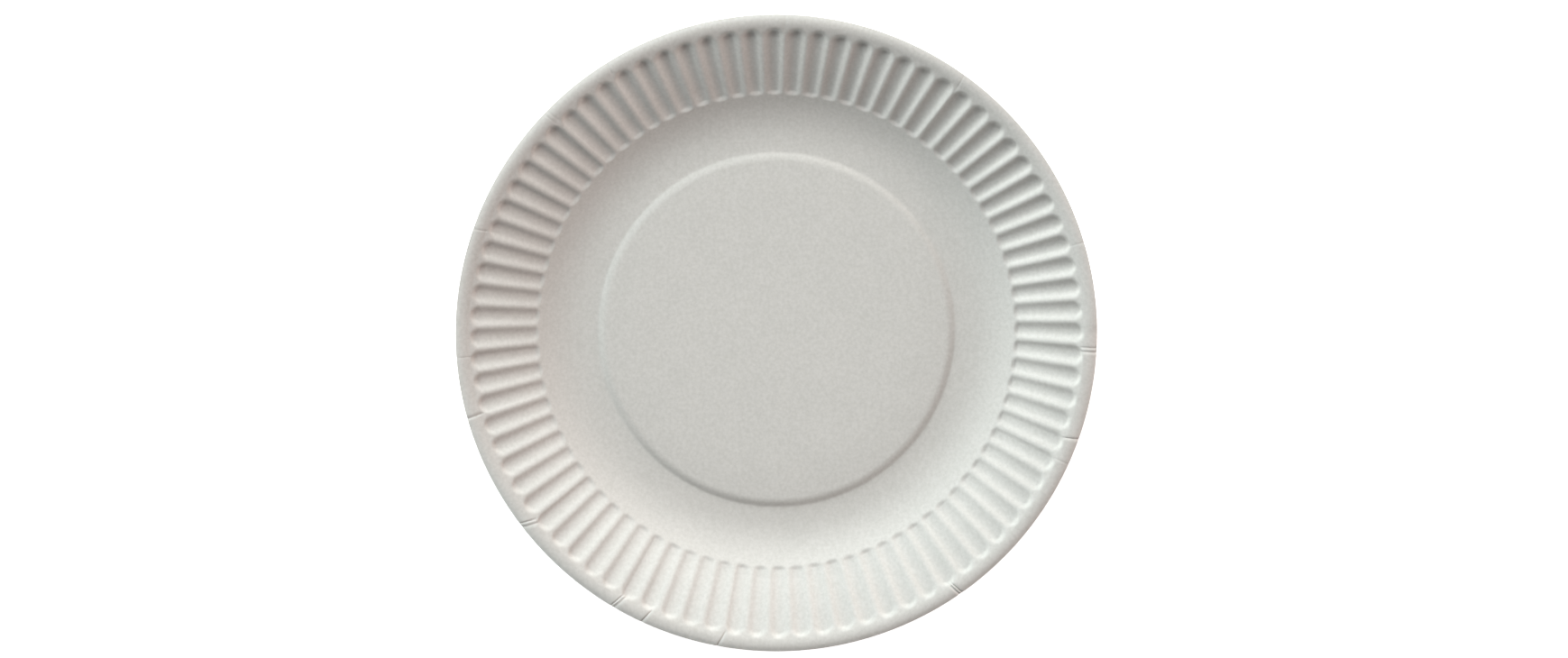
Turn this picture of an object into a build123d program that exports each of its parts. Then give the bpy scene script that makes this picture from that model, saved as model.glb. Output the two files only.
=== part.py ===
from build123d import *
from math import acos, cos, degrees, hypot, radians, sin, tan
import os

# A round paper plate pressed from one sheet of board. It stands on a flat ring round its raised centre.
# The origin is on the axis, at the height of the surface it stands on. Sizes are millimetres and degrees.

# Overall
plate_radius = 115.0  # to the outermost point of the rim
board = 0.45  # thickness of the pressed board

# Raised centre and foot, along the underside
centre_radius = 63.75  # to the middle of the step round the raised centre
centre_rise = 1.07  # height of the raised centre over the foot
step_crest = 5.0  # radius of the step's upper bend
step_root = 3.0  # radius of its lower bend
foot_width = 4.85  # flat ring that the plate stands on

# Wall, along the underside
cove_radius = 29.3  # curve from the foot up into the wall
wall_angle = 31.2  # slope of the wall where the flutes start
rim_angle = 21.6  # slope of the wall where they end: it bows outwards between the two
plain_wall = 0.5  # smooth wall under the flutes, along the slope
rim_land = 0.15  # smooth wall over the flutes, along the slope

# Rim, along the underside
crown_radius = 6.2  # bend from the wall to the level top of the rim
lip_radius = 4.15  # bend from there down to the lip
lip_angle = 17.5  # how far the lip is turned down
lip_flat = 0.57  # straight part of the lip, out to the cut edge

# Flutes pressed down into the wall
flute_count = 84
flute_depth = 1.16  # half way up the wall, square to it
flute_growth = 0.55  # how much deeper it is at the top of the wall than at the bottom, as a share
run_in = 2.0  # length of a flute's sloping lower end, along the wall
run_out = 2.3  # length of its sloping upper end
round_in = 0.8  # how far the corners of the lower end are rounded back, along the wall
round_out = 2.4  # how far the corners of the upper end are
ridge_round = 0.30  # how full the ridge between two flutes is, as a share of half a pitch
valley_round = 0.60  # how full the floor of a flute is, as a share of half a pitch
end_angle = 38.0  # steepest slope of a flute's ends, off the wall
flank_angle = 33.0  # steepest slope of its flanks

half_pitch = 180 / flute_count
step_angle = degrees(acos(1 - centre_rise / (step_crest + step_root)))
centre_edge = centre_radius - step_crest * sin(radians(step_angle))
slope = radians(wall_angle)
rim_slope = radians(rim_angle)
lip_slope = radians(lip_angle)

# The middle of the dish: the raised centre, its step, the foot, the cove and the smooth start of the wall.
with BuildPart() as dish:
    with BuildSketch(Plane.XZ):
        with BuildLine():
            centre = Line((0, centre_rise), (centre_edge, centre_rise))
            step_top = JernArc(centre @ 1, centre % 1, step_crest, -step_angle)
            step_foot = JernArc(step_top @ 1, step_top % 1, step_root, step_angle)
            foot = Line(step_foot @ 1, step_foot @ 1 + Vector(foot_width, 0))
            cove = JernArc(foot @ 1, foot % 1, cove_radius, wall_angle)
            wall_start = PolarLine(cove @ 1, plain_wall, wall_angle)
            offset(amount=board, side=Side.LEFT)
        make_face()
    revolve(axis=Axis.Z)

# The wall rises from the cove to where the bends of the rim leave just the plate's radius.
lower_radius = (wall_start @ 1).X
lower_height = (wall_start @ 1).Y
lip_reach = (lip_radius + board) * sin(lip_slope) + lip_flat * cos(lip_slope)
upper_radius = plate_radius - lip_reach - crown_radius * sin(rim_slope) - rim_land * cos(rim_slope)
bow_radius = (upper_radius - lower_radius) / (sin(slope) - sin(rim_slope))
flute_length = bow_radius * (slope - rim_slope)
upper_height = lower_height + bow_radius * (cos(rim_slope) - cos(slope))

# The rim: a short land, the level crown and the lip turned down round it.
with BuildPart() as rim:
    with BuildSketch(Plane.XZ):
        with BuildLine():
            land = PolarLine((upper_radius, upper_height), rim_land, rim_angle)
            crown = JernArc(land @ 1, land % 1, crown_radius, -rim_angle)
            lip = JernArc(crown @ 1, crown % 1, lip_radius, -lip_angle)
            lip_end = PolarLine(lip @ 1, lip_flat, -lip_angle)
            offset(amount=board, side=Side.LEFT)
        make_face()
    revolve(axis=Axis.Z)


def depth_at(along):
    """Depth of a flute this far up the wall: it grows from the lower end to the upper one."""
    return flute_depth * (1 + flute_growth * (along / flute_length - 0.5))


def wall_point(along, lift, angle, handle=0):
    """A point this far up the bowed wall and this far off its underside, turned by an angle about the axis.

    A handle moves it on, straight along the wall's slope there."""
    tilt = slope - along / bow_radius
    radius = lower_radius + bow_radius * sin(slope) - (bow_radius + lift) * sin(tilt) + handle * cos(tilt)
    height = lower_height - bow_radius * cos(slope) + (bow_radius + lift) * cos(tilt) + handle * sin(tilt)
    return Vector(radius * cos(radians(angle)), radius * sin(radians(angle)), height)


def flute_row(station, valley_handle, ridge_handle, lift, ridge, valley, widen):
    """Four control points from a ridge to a valley: level with the wall at one, sunk into it at the other.

    Where nothing is sunk, the curve is a plain arc about the axis."""
    sink, valley_along, ridge_along = station
    depth = sink * depth_at(valley_along + valley_handle)
    ridge_end = wall_point(ridge_along, lift, ridge, ridge_handle)
    valley_end = wall_point(valley_along, lift - depth, valley, valley_handle)
    quarter = tan(radians(abs(valley - ridge)) / 4) * 4 / 3
    around = 1 if valley > ridge else -1
    handles = []
    for end, angle, share, change, way in (
        (ridge_end, ridge, ridge_round, -widen, around),
        (valley_end, valley, valley_round, widen, -around),
    ):
        reach = hypot(end.X, end.Y) * quarter * (1 + sink * (3 * share - 1)) + sink * change
        handles.append(end + Vector(-sin(radians(angle)), cos(radians(angle)), 0) * way * reach)
    return [ridge_end, *handles, valley_end]


def flute_faces(lift, outset, widen):
    """One side of the fluted wall. Each half flute is a lower end, an even run and an upper end.

    A station is how far the flute is sunk there, and its place up the wall in the valley and on the ridge.
    On the ridge it lies further from the rings, and that rounds the corners of the flutes."""
    low = run_in - outset
    high = flute_length - run_out + outset
    stations = (
        (0, 0, 0),
        (1, low, low + round_in),
        (1, high, high - round_out),
        (0, flute_length, flute_length),
    )
    faces = []
    for flute in range(flute_count):
        valley = flute * 2 * half_pitch
        for ridge in (valley - half_pitch, valley + half_pitch):
            for start, end in zip(stations, stations[1:]):
                valley_handle = (end[1] - start[1]) / 3
                ridge_handle = (end[2] - start[2]) / 3
                rows = []
                for station, share in ((start, 0), (start, 1), (end, -1), (end, 0)):
                    handles = share * valley_handle, share * ridge_handle
                    rows.append(flute_row(station, *handles, lift, ridge, valley, widen))
                faces.append(Face.make_bezier_surface(rows))
    return faces


# The underside follows the top at the board's thickness, so there each flute is a little longer and wider.
longer = board * tan(radians(end_angle) / 2)
wider = board * tan(radians(flank_angle) / 2) * 4 / 3
underside = flute_faces(0, longer, wider)
top_side = flute_faces(board, 0, 0)

# The rings that close the dish and the rim where they meet the flutes are left out, so the board runs on.
board_faces = underside + top_side
for ring, seam in ((dish, wall_point(0, board / 2, 0)), (rim, wall_point(flute_length, board / 2, 0))):
    board_faces += ring.faces().sort_by_distance(Vertex(*seam))[1:]

with BuildPart() as paper_plate:
    add(Solid(Shell(board_faces)))

paper_plate.part.label = "paper_plate"
os.makedirs("parts", exist_ok=True)
export_step(paper_plate.part, "parts/paper_plate.step")
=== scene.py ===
from math import acos, cos, pi, radians, sin, tan

import bpy
import bmesh
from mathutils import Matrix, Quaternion, Vector


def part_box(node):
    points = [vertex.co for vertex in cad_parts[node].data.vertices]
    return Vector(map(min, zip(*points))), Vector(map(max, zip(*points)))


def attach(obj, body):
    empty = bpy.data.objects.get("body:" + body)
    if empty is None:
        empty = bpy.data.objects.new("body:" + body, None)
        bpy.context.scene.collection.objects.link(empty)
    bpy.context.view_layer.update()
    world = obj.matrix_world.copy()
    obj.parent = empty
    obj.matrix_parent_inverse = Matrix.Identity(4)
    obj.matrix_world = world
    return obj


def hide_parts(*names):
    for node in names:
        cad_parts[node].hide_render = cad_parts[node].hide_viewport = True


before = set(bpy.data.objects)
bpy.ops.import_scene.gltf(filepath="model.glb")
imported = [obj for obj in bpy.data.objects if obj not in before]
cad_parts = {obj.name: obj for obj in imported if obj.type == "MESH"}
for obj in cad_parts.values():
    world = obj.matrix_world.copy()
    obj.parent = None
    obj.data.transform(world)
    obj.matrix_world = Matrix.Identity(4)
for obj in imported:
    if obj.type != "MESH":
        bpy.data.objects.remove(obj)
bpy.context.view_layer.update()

# ---- The blank -------------------------------------------------------------------------------------
# The plate starts as a round blank, die-cut from one sheet of uncoated paperboard. Its surface is
# divided in rings and spokes, and each ring knows where on the pressed plate's section it will lie.

MM = 0.001
_, plate_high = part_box("paper_plate")
BOARD = 0.45 * MM
PLATE_RADIUS = plate_high.x

# The section's sizes are those of the underside, so the top side's bends are a board tighter or wider.
CENTRE_RADIUS = 63.75 * MM
CENTRE_RISE = 1.07 * MM
STEP_CREST = 5.0 * MM
STEP_ROOT = 3.0 * MM
STEP_TURN = acos(1 - CENTRE_RISE / (STEP_CREST + STEP_ROOT))
FOOT_WIDTH = 4.85 * MM
COVE_RADIUS = 29.3 * MM
WALL_SLOPE = radians(31.2)
PLAIN_WALL = 0.5 * MM
RIM_SLOPE = radians(21.6)
RIM_LAND = 0.15 * MM
CROWN_RADIUS = 6.2 * MM
LIP_RADIUS = 4.15 * MM
LIP_TURN = radians(17.5)
LIP_FLAT = 0.57 * MM

# The flutes: their number, and the lengths of their sloping ends.
FLUTES = 84
LOWER_END = 2.0 * MM
UPPER_END = 2.3 * MM


def section_rings():
    """The top side of the board from the axis outwards: reach on the flat blank, radius, height, slope."""
    rings = [(0.0, 0.0, BOARD + CENTRE_RISE, 0.0)]

    def run(length, parts):
        for _ in range(parts):
            reach, radius, height, slope = rings[-1]
            step = length / parts
            rings.append((reach + step, radius + step * cos(slope), height + step * sin(slope), slope))

    def bend(bend_radius, turn, parts):
        for _ in range(parts):
            reach, radius, height, slope = rings[-1]
            part = turn / parts
            chord = 2 * bend_radius * sin(abs(part) / 2)
            middle = slope + part / 2
            radius, height = radius + chord * cos(middle), height + chord * sin(middle)
            rings.append((reach + bend_radius * abs(part), radius, height, slope + part))

    run(CENTRE_RADIUS - STEP_CREST * sin(STEP_TURN), 4)
    bend(STEP_CREST + BOARD, -STEP_TURN, 3)
    bend(STEP_ROOT - BOARD, STEP_TURN, 3)
    run(FOOT_WIDTH, 2)
    bend(COVE_RADIUS - BOARD, WALL_SLOPE, 6)
    run(PLAIN_WALL, 1)
    flutes_start, wall_foot = rings[-1][:2]
    lip_reach = (LIP_RADIUS + BOARD) * sin(LIP_TURN) + LIP_FLAT * cos(LIP_TURN)
    rim_reach = RIM_LAND * cos(RIM_SLOPE) + (CROWN_RADIUS + BOARD) * sin(RIM_SLOPE) + lip_reach
    bow_radius = (PLATE_RADIUS - rim_reach - wall_foot) / (sin(WALL_SLOPE) - sin(RIM_SLOPE))
    flute_length = bow_radius * (WALL_SLOPE - RIM_SLOPE)
    middle = flute_length - LOWER_END - 2 * UPPER_END
    for length, parts in ((LOWER_END, 6), (middle, 5), (2 * UPPER_END, 12)):
        bend(bow_radius, -length / bow_radius, parts)
    run(RIM_LAND, 1)
    bend(CROWN_RADIUS + BOARD, -RIM_SLOPE, 5)
    bend(LIP_RADIUS + BOARD, -LIP_TURN, 4)
    run(LIP_FLAT, 1)
    return rings, flutes_start, flute_length


rings, FLUTES_START, FLUTE_LENGTH = section_rings()

# Where the rim buckled in the press: place round the rim in degrees, width of the pleat and depth of the
# sunk line along each of its sides in millimetres, and its slant off the radius in degrees.
RIM_PLEATS = (
    (16.5, 0.0, 0.08, 0), (53.5, 0.0, 0.10, 8), (88.0, 0.0, 0.07, -6), (121.5, 0.0, 0.12, -5),
    (135.0, 1.6, 0.08, 6), (159.5, 0.0, 0.10, 10), (183.5, 0.0, 0.08, 0), (194.4, 0.0, 0.26, 4),
    (217.4, 1.7, 0.24, -24), (239.4, 1.3, 0.28, -21), (245.3, 0.0, 0.27, -20), (259.8, 0.0, 0.26, -22),
    (304.2, 1.1, 0.44, 14), (335.5, 0.0, 0.08, 0), (339.7, 0.0, 0.27, 14), (356.8, 1.6, 0.24, 0),
)
CREASE = 0.6 * MM  # from the middle of a sunk line to its edge
SKEWED = 7.0 * MM  # how far to each side of a pleat its slant still turns the board
SPOKES_PER_FLUTE = 10
NEAREST_SPOKES = 0.1 * MM


def spoke_angles():
    """Even spokes, and closer ones across each sunk line of the rim's pleats."""
    count = FLUTES * SPOKES_PER_FLUTE
    angles = [spoke * 2 * pi / count for spoke in range(count)]
    for place, width, _, _ in RIM_PLEATS:
        for line in sorted({-width / 2, width / 2}):
            for share in (-1.0, -0.5, 0.0, 0.5, 1.0):
                extra = (radians(place) + (line * MM + share * CREASE) / PLATE_RADIUS) % (2 * pi)
                if min(abs(extra - angle) for angle in angles) > NEAREST_SPOKES / PLATE_RADIUS:
                    angles.append(extra)
    return sorted(angles)


def off_pleat(angle, place):
    """Distance round the rim from a pleat."""
    return ((angle - radians(place) + pi) % (2 * pi) - pi) * PLATE_RADIUS


def pleat_height(angle):
    """How deep the sunk lines of the pleats are on a spoke."""
    height = 0.0
    for place, width, depth, _ in RIM_PLEATS:
        off = abs(abs(off_pleat(angle, place)) - width * MM / 2)
        if off < CREASE:
            height -= depth * MM * (1 + cos(pi * off / CREASE)) / 2
    return height


def skew(angle, past):
    """How far a spoke swings round the rim with the slant of a pleat near it, this far past the flutes."""
    swing = 0.0
    for place, _, _, slant in RIM_PLEATS:
        off = abs(off_pleat(angle, place))
        if off < SKEWED and past > 0:
            swing += past * tan(radians(slant)) * (1 - off / SKEWED) / PLATE_RADIUS
    return swing


def make_blank(angles):
    """The flat blank: one point in the middle, then a ring of points for each ring of the section."""
    points = [(0.0, 0.0, 0.0)]
    rows = [rings[0]]
    pleats = [0.0]
    faces = []
    count = len(angles)
    heights = [pleat_height(angle) for angle in angles]
    for number, ring in enumerate(rings[1:]):
        first = 1 + number * count
        past = ring[0] - FLUTES_START - FLUTE_LENGTH + UPPER_END / 2
        for spoke, angle in enumerate(angles):
            turned = angle + skew(angle, past)
            points.append((ring[0] * cos(turned), ring[0] * sin(turned), 0.0))
            rows.append(ring)
            pleats.append(heights[spoke])
            after = (spoke + 1) % count
            if number == 0:
                faces.append((0, first + spoke, first + after))
            else:
                faces.append((first - count + spoke, first + spoke, first + after, first - count + after))
    mesh = bpy.data.meshes.new("blank")
    mesh.from_pydata(points, [], faces)
    for name, values in (
        ("reach", [row[0] for row in rows]),
        ("radius", [row[1] for row in rows]),
        ("height", [row[2] for row in rows]),
        ("slope", [row[3] for row in rows]),
        ("pleat", pleats),
    ):
        mesh.attributes.new(name, "FLOAT", "POINT").data.foreach_set("value", values)
    return mesh


# ---- The press -------------------------------------------------------------------------------------
# The dies push each point of the blank to its place on the section, and sink the flutes into the wall,
# square to it. Each flute is a little deeper or shorter than the next, as the board gives unevenly.

# How full the ridges and the floors of the flutes are, as shares of half a pitch.
RIDGE_ROUND = 0.30
VALLEY_ROUND = 0.60

# How much further the floor of a flute leans to one side than its ridge leans to the other.
LEAN_BIAS = 0.3

# How far the rim is rolled up or down at each eighth of its round, as shares of the largest roll.
RIM_ROLLS = [-0.5, 0.55, 0.05, 0.2, 1.0, -0.25, -0.1, -0.35]

# The warp's noise, taken on a circle one unit wide, so that it closes on itself round the plate.
SWELL_SCALE = 0.9


def add_node(tree, kind, links=None, **settings):
    """Adds a node. links gives each input's value, or the node or socket that feeds it."""
    node = tree.nodes.new(kind)
    for name, value in settings.items():
        setattr(node, name, value)
    for key, value in (links or {}).items():
        if isinstance(value, bpy.types.Node):
            value = next(socket for socket in value.outputs if socket.enabled)
        if isinstance(value, bpy.types.NodeSocket):
            tree.links.new(value, node.inputs[key])
        else:
            node.inputs[key].default_value = value
    return node


def ease(share, ridge, valley):
    """A point on the curve from a ridge (0, 0) to a valley (1, 1), level at both its ends."""
    across = 3 * (1 - share) ** 2 * share * ridge + 3 * (1 - share) * share**2 * (1 - valley) + share**3
    return across, 3 * share**2 - 2 * share**3


def curve_node(tree, value, spots):
    """A float curve through the given spots."""
    node = add_node(tree, "ShaderNodeFloatCurve", {"Value": value})
    points = node.mapping.curves[0].points
    for point, spot in zip((points[0], points[1]), (spots[0], spots[-1])):
        point.location = spot
    for spot in spots[1:-1]:
        points.new(*spot)
    node.mapping.update()
    return node


def press_tree(board_material):
    """Geometry Nodes that press the blank, with the sizes of the flutes as inputs."""
    tree = bpy.data.node_groups.new("plate_press", "GeometryNodeTree")
    tree.interface.new_socket("Geometry", in_out="INPUT", socket_type="NodeSocketGeometry")
    for name, kind, value in (
        ("Flutes", "NodeSocketInt", FLUTES),
        ("Flute Start", "NodeSocketFloat", FLUTES_START),
        ("Flute Length", "NodeSocketFloat", FLUTE_LENGTH),
        ("Flute Depth", "NodeSocketFloat", 0.0),
        ("Lower End", "NodeSocketFloat", LOWER_END),
        ("Upper End", "NodeSocketFloat", UPPER_END),
        ("Flute Growth", "NodeSocketFloat", 0.0),
        ("Deep Side", "NodeSocketFloat", 0.0),
        ("Deep Side Angle", "NodeSocketFloat", 0.0),
        ("Lower Round", "NodeSocketFloat", 0.0),
        ("Upper Round", "NodeSocketFloat", 0.0),
        ("Unevenness", "NodeSocketFloat", 0.0),
        ("Lean", "NodeSocketFloat", 0.0),
        ("Pleat Start", "NodeSocketFloat", 0.0),
        ("Rim Start", "NodeSocketFloat", 0.0),
        ("Rim Roll", "NodeSocketFloat", 0.0),
        ("Warp", "NodeSocketFloat", 0.0),
        ("Seed", "NodeSocketInt", 0),
    ):
        tree.interface.new_socket(name, in_out="INPUT", socket_type=kind).default_value = value
    tree.interface.new_socket("Geometry", in_out="OUTPUT", socket_type="NodeSocketGeometry")
    given = add_node(tree, "NodeGroupInput").outputs

    def calc(operation, *values):
        return add_node(tree, "ShaderNodeMath", dict(enumerate(values)), operation=operation)

    def ring_value(name):
        return add_node(tree, "GeometryNodeInputNamedAttribute", {"Name": name}, data_type="FLOAT")

    # Which flute a spoke belongs to, and how far across it lies: 0 on a ridge and 1 in a valley.
    place = add_node(tree, "ShaderNodeSeparateXYZ", {0: add_node(tree, "GeometryNodeInputPosition")})
    angle = calc("ARCTAN2", place.outputs["Y"], place.outputs["X"])
    pitches = calc("DIVIDE", calc("MULTIPLY", angle, given["Flutes"]), 2 * pi)
    number = calc("FLOORED_MODULO", calc("ROUND", pitches), given["Flutes"])
    # The floor of a flute lies a little to one side, so one of its flanks is steeper than the other.
    lean = calc("MULTIPLY", given["Lean"], calc("COSINE", calc("MULTIPLY", pitches, 2 * pi)))
    leaned = calc("ADD", pitches, calc("ADD", lean, calc("MULTIPLY", given["Lean"], LEAN_BIAS)))
    across = calc("ABSOLUTE", calc("SUBTRACT", calc("MULTIPLY", calc("FRACT", leaned), 2.0), 1.0))
    wave = curve_node(tree, across, [ease(share / 4, RIDGE_ROUND, VALLEY_ROUND) for share in range(5)])

    # Each flute's own depth and its own start on the wall.
    uneven = given["Unevenness"]
    depth_draw = add_node(
        tree,
        "FunctionNodeRandomValue",
        {2: -1.0, 3: 1.0, "ID": number, "Seed": given["Seed"]},
        data_type="FLOAT",
    )
    shift_draw = add_node(
        tree,
        "FunctionNodeRandomValue",
        {2: -1.0, 3: 1.0, "ID": number, "Seed": calc("ADD", given["Seed"], 1.0)},
        data_type="FLOAT",
    )
    reach = ring_value("reach")
    along = calc("SUBTRACT", reach, given["Flute Start"])
    shift = calc("MULTIPLY", shift_draw, calc("MULTIPLY", uneven, LOWER_END))
    off_valley = calc("SUBTRACT", 1.0, wave)
    lower_corner = calc("MULTIPLY", off_valley, given["Lower Round"])
    upper_corner = calc("MULTIPLY", off_valley, given["Upper Round"])
    from_start = calc("SUBTRACT", calc("SUBTRACT", along, shift), lower_corner)
    to_finish = calc("SUBTRACT", calc("SUBTRACT", given["Flute Length"], along), upper_corner)
    lower = add_node(
        tree,
        "ShaderNodeMapRange",
        {"Value": from_start, "From Max": given["Lower End"]},
        interpolation_type="SMOOTHSTEP",
    )
    upper = add_node(
        tree,
        "ShaderNodeMapRange",
        {"Value": calc("SUBTRACT", to_finish, shift), "From Max": given["Upper End"]},
        interpolation_type="SMOOTHSTEP",
    )
    radius = ring_value("radius")
    way_up = calc("SUBTRACT", calc("DIVIDE", along, given["Flute Length"]), 0.5)
    growth = calc("ADD", 1.0, calc("MULTIPLY", given["Flute Growth"], way_up))
    off_deep_side = calc("SUBTRACT", angle, given["Deep Side Angle"])
    tilt = calc("MULTIPLY", given["Deep Side"], calc("COSINE", off_deep_side))
    bite = calc("ADD", calc("ADD", 1.0, tilt), calc("MULTIPLY", depth_draw, uneven))
    depth = calc("MULTIPLY", given["Flute Depth"], bite)
    ends = calc("MULTIPLY", lower, upper)
    sunk = calc("MULTIPLY", calc("MULTIPLY", depth, growth), calc("MULTIPLY", ends, wave))

    # The pleats only stand on the rim, and the warp only lifts what lies outside the foot.
    pleat_full = calc("ADD", given["Pleat Start"], UPPER_END)
    on_rim = add_node(
        tree,
        "ShaderNodeMapRange",
        {"Value": reach, "From Min": given["Pleat Start"], "From Max": pleat_full},
        interpolation_type="SMOOTHSTEP",
    )
    off_board = calc("SUBTRACT", calc("MULTIPLY", ring_value("pleat"), on_rim), sunk)
    eighths = [(eighth / 8, 0.5 + share / 2) for eighth, share in enumerate(RIM_ROLLS + RIM_ROLLS[:1])]
    turned = curve_node(tree, calc("FRACT", calc("DIVIDE", angle, 2 * pi)), eighths)
    roll = calc("MULTIPLY", calc("SUBTRACT", turned, 0.5), calc("MULTIPLY", given["Rim Roll"], 2.0))
    past = calc("MAXIMUM", calc("SUBTRACT", reach, given["Rim Start"]), 0.0)
    slope = ring_value("slope")
    out = calc("SUBTRACT", radius, calc("MULTIPLY", calc("SINE", slope), off_board))
    up = calc("ADD", ring_value("height"), calc("MULTIPLY", calc("COSINE", slope), off_board))
    circle = add_node(
        tree,
        "ShaderNodeCombineXYZ",
        {"X": calc("COSINE", angle), "Y": calc("SINE", angle), "Z": given["Seed"]},
    )
    swell = add_node(
        tree,
        "ShaderNodeTexNoise",
        {"Vector": circle, "Scale": SWELL_SCALE, "Detail": 1.0},
        noise_dimensions="3D",
    )
    wall_share = add_node(
        tree,
        "ShaderNodeMapRange",
        {"Value": radius, "From Min": CENTRE_RADIUS + 2 * FOOT_WIDTH, "From Max": PLATE_RADIUS},
        interpolation_type="SMOOTHSTEP",
    )
    lift = calc("MULTIPLY", calc("MULTIPLY", calc("SUBTRACT", swell, 0.5), given["Warp"]), wall_share)
    pressed = add_node(
        tree,
        "ShaderNodeCombineXYZ",
        {
            "X": calc("MULTIPLY", out, calc("COSINE", angle)),
            "Y": calc("MULTIPLY", out, calc("SINE", angle)),
            "Z": calc("ADD", calc("ADD", up, lift), calc("MULTIPLY", past, roll)),
        },
    )
    placed = add_node(tree, "GeometryNodeSetPosition", {"Geometry": given["Geometry"], "Position": pressed})
    smooth = add_node(tree, "GeometryNodeSetShadeSmooth", {0: placed})
    real = add_node(tree, "GeometryNodeRealizeInstances", {0: smooth})
    finished = add_node(tree, "GeometryNodeSetMaterial", {"Geometry": real, "Material": board_material})
    add_node(tree, "NodeGroupOutput", {0: finished})
    return tree


press_sizes = {
    "Flute Depth": 1.16 * MM,
    "Flute Growth": 0.55,
    "Lower Round": 0.8 * MM,
    "Upper Round": 2.4 * MM,
    "Deep Side": 0.25,
    "Deep Side Angle": radians(45),
    "Unevenness": 0.07,
    "Lean": 0.03,
    "Pleat Start": FLUTES_START + FLUTE_LENGTH - UPPER_END,
    "Rim Start": FLUTES_START + FLUTE_LENGTH,
    "Rim Roll": tan(radians(15)),
    "Warp": 0.5 * MM,
    "Seed": 4,
}


# ---- The board's finish ----------------------------------------------------------------------------
# Uncoated bleached paperboard: a matt, slightly warm off-white felt of wood fibres. The felt of the
# paper machine leaves a faint even grain in it, and its tone drifts a little from place to place.


def from_hex(code):
    """An sRGB hex colour as linear red, green, blue and alpha."""
    parts = [int(code[place:place + 2], 16) / 255 for place in (1, 3, 5)]
    return [part / 12.92 if part <= 0.04045 else ((part + 0.055) / 1.055) ** 2.4 for part in parts] + [1.0]


def uncoated_paperboard():
    """Board whose fibre relief breaks up the light, so that it looks soft and dry, without a shine."""
    material = bpy.data.materials.new("uncoated_paperboard")
    material.use_nodes = True
    tree = material.node_tree
    shader = tree.nodes["Principled BSDF"]
    spot = add_node(tree, "ShaderNodeTexCoord").outputs["Object"]
    felt_grain = 1.2 * MM
    fibre = 0.45 * MM
    cloud = 14 * MM
    relief_height = 0.05 * MM
    fibre_share = 0.4

    def noise(size, **settings):
        return add_node(tree, "ShaderNodeTexNoise", {"Vector": spot, "Scale": 1 / size, **settings})

    felt = noise(felt_grain, Detail=2.0, Roughness=0.6)
    fibres = noise(fibre, Detail=3.0, Roughness=0.7)
    clouds = noise(cloud, Detail=2.0)
    even = add_node(
        tree,
        "ShaderNodeMix",
        {"Factor": clouds, 6: from_hex("#D3D2CD"), 7: from_hex("#D9D7D2")},
        data_type="RGBA",
    )
    grain_share = add_node(tree, "ShaderNodeMapRange", {"Value": felt, "From Min": 0.3, "From Max": 0.7})
    grained = add_node(
        tree,
        "ShaderNodeMix",
        {"Factor": grain_share, 6: from_hex("#F2F2F1"), 7: from_hex("#FFFFFF")},
        data_type="RGBA",
    )
    coloured = add_node(
        tree,
        "ShaderNodeMix",
        {"Factor": 1.0, 6: even.outputs[2], 7: grained.outputs[2]},
        data_type="RGBA",
        blend_type="MULTIPLY",
    )
    tree.links.new(coloured.outputs[2], shader.inputs["Base Color"])
    relief = add_node(
        tree,
        "ShaderNodeMix",
        {"Factor": fibre_share, 2: felt.outputs[0], 3: fibres.outputs[0]},
        data_type="FLOAT",
    )
    bump = add_node(
        tree,
        "ShaderNodeBump",
        {"Strength": 0.25, "Distance": relief_height, "Height": relief.outputs[0]},
    )
    tree.links.new(bump.outputs[0], shader.inputs["Normal"])
    shader.inputs["Roughness"].default_value = 0.88
    shader.inputs["Specular IOR Level"].default_value = 0.3
    return material


paperboard = uncoated_paperboard()
blank = bpy.data.objects.new("blank", make_blank(spoke_angles()))
bpy.context.collection.objects.link(blank)
press = blank.modifiers.new("press", "NODES")
press.node_group = press_tree(paperboard)
for socket in press.node_group.interface.items_tree:
    if socket.in_out == "INPUT" and socket.name in press_sizes:
        press[socket.identifier] = press_sizes[socket.name]

# The pressed top side gets the board's thickness below it, closed along the cut edge, which stays sharp.
SHARP_EDGE = radians(50)
thickness = blank.modifiers.new("board", "SOLIDIFY")
thickness.thickness = BOARD
thickness.offset = -1
thickness.use_even_offset = True
pressed = bpy.data.meshes.new_from_object(blank.evaluated_get(bpy.context.evaluated_depsgraph_get()))
bpy.data.objects.remove(blank)
pressed.name = "pressed_plate"
for name in ("reach", "radius", "height", "slope", "pleat"):
    pressed.attributes.remove(pressed.attributes[name])
shape = bmesh.new()
shape.from_mesh(pressed)
for edge in shape.edges:
    edge.smooth = edge.calc_face_angle(0) < SHARP_EDGE
shape.to_mesh(pressed)
shape.free()
plate = bpy.data.objects.new("pressed_plate", pressed)
bpy.context.collection.objects.link(plate)
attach(plate, "root")
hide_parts("paper_plate")

# ---- Ground, light and camera ----------------------------------------------------------------------
# The plate lies on a white light table in a plain studio. A wide soft light stands behind it, with two
# weaker ones at its side and in front, and a camera hangs over it, leaning back a little.

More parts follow.
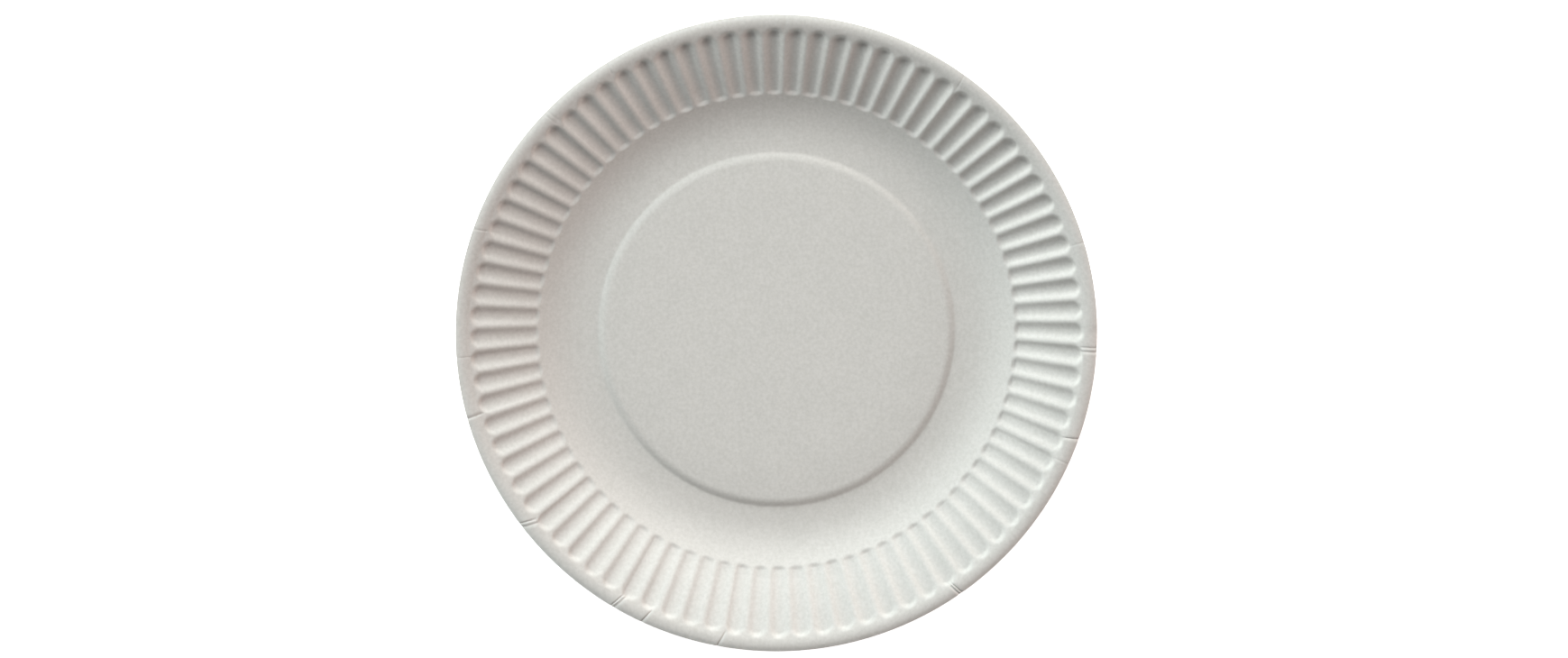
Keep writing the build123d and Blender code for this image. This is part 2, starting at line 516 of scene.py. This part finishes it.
TABLE_SIDE = 20.0  # from the middle to each side
TABLE_GLOW = 0.8
table_mesh = bpy.data.meshes.new("light_table")
corners = [(x * TABLE_SIDE, y * TABLE_SIDE, 0.0) for x, y in ((-1, -1), (1, -1), (1, 1), (-1, 1))]
table_mesh.from_pydata(corners, [], [(0, 1, 2, 3)])
table = bpy.data.objects.new("light_table", table_mesh)
bpy.context.collection.objects.link(table)
opal = bpy.data.materials.new("opal_table")
opal.use_nodes = True
opal_shader = opal.node_tree.nodes["Principled BSDF"]
opal_shader.inputs["Base Color"].default_value = from_hex("#F5F5F4")
opal_shader.inputs["Roughness"].default_value = 0.9
opal_shader.inputs["Specular IOR Level"].default_value = 0.0
opal_shader.inputs["Emission Color"].default_value = (1, 1, 1, 1)
opal_shader.inputs["Emission Strength"].default_value = TABLE_GLOW
table_mesh.materials.append(opal)

STUDIO_GLOW = 0.05
world = bpy.data.worlds.new("studio")
bpy.context.scene.world = world
world.use_nodes = True
studio_walls = world.node_tree.nodes["Background"]
studio_walls.inputs["Color"].default_value = (1.0, 0.6, 0.7, 1)
studio_walls.inputs["Strength"].default_value = STUDIO_GLOW


def soft_light(name, azimuth, elevation, distance, side, power, colour):
    """A square soft light, aimed at the plate from a compass angle (+Y is 90) and a height angle."""
    light = bpy.data.lights.new(name, "AREA")
    light.shape = "SQUARE"
    light.size = side
    light.energy = power
    light.color = colour
    lamp = bpy.data.objects.new(name, light)
    bpy.context.collection.objects.link(lamp)
    across = distance * cos(radians(elevation))
    place = Vector(
        (across * cos(radians(azimuth)), across * sin(radians(azimuth)), distance * sin(radians(elevation)))
    )
    lamp.location = place
    lamp.rotation_euler = (-place).to_track_quat("-Z", "Y").to_euler()
    return lamp


soft_light("window_light", 118, 27, 2.0, 1.45, 65.5, (0.922, 0.99, 0.995))
soft_light("side_light", 15, 20, 2.0, 1.2, 28.2, (1.0, 0.868, 0.822))
soft_light("low_light", 222, 16, 2.0, 1.0, 13.4, (0.895, 0.99, 0.99))

CAMERA_LEAN = radians(6.5)
CAMERA_ROLL = radians(-0.52)
CAMERA_DISTANCE = 1.57
LENS_MM = 100.0
SENSOR_MM = 36.0
aim = Vector((0.0027, 0.0014, 0.009))
lens = bpy.data.cameras.new("camera")
lens.lens = LENS_MM
lens.sensor_width = SENSOR_MM
camera = bpy.data.objects.new("camera", lens)
bpy.context.collection.objects.link(camera)
bpy.context.scene.camera = camera
camera.location = aim + CAMERA_DISTANCE * Vector((0, sin(CAMERA_LEAN), cos(CAMERA_LEAN)))
camera.rotation_euler = (Quaternion((1, 0, 0), -CAMERA_LEAN) @ Quaternion((0, 0, 1), CAMERA_ROLL)).to_euler()
bpy.context.scene.view_settings.view_transform = "Standard"
